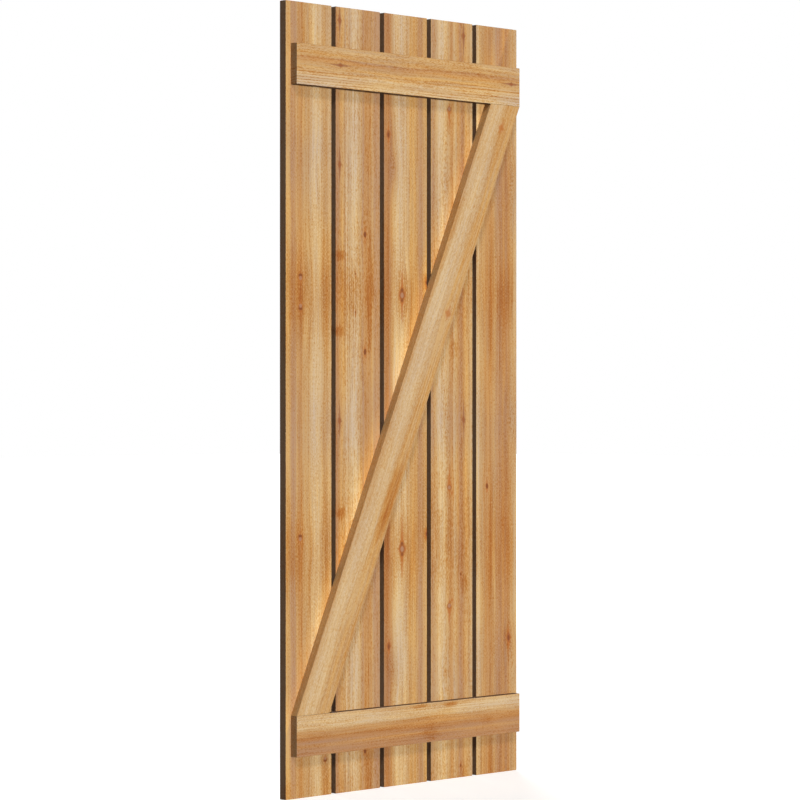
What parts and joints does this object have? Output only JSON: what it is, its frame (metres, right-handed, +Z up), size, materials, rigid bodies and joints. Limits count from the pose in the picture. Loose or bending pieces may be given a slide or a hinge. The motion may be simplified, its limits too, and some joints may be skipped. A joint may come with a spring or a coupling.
{
  "type": "board and batten shutter",
  "caption": "Board and batten window shutter of knotty cedar: upright boards with open joints, a batten across each end and a diagonal brace forming a Z, screwed together from the back.",
  "frame": {"origin": "middle of the shutter's height and width, on the plane of the boards' backs that lies against the wall", "axes": "+X to the right as seen from the face, +Y out of the back towards the wall, +Z up; the face with its battens and brace looks towards -Y"},
  "size_m": [0.7332, 0.038, 1.727],
  "materials": {
    "board_cedar": "unfinished knotty cedar, planed",
    "batten_cedar": "unfinished knotty cedar, planed",
    "screw_steel": "zinc plated, satin"
  },
  "bodies": {
    "root": {"board_1": "board_cedar", "board_2": "board_cedar", "board_3": "board_cedar", "board_4": "board_cedar", "board_5": "board_cedar", "top_batten": "batten_cedar", "bottom_batten": "batten_cedar", "brace": "batten_cedar", "top_batten_screws": "screw_steel", "bottom_batten_screws": "screw_steel", "brace_screws": "screw_steel"}
  },
  "joints": []
}
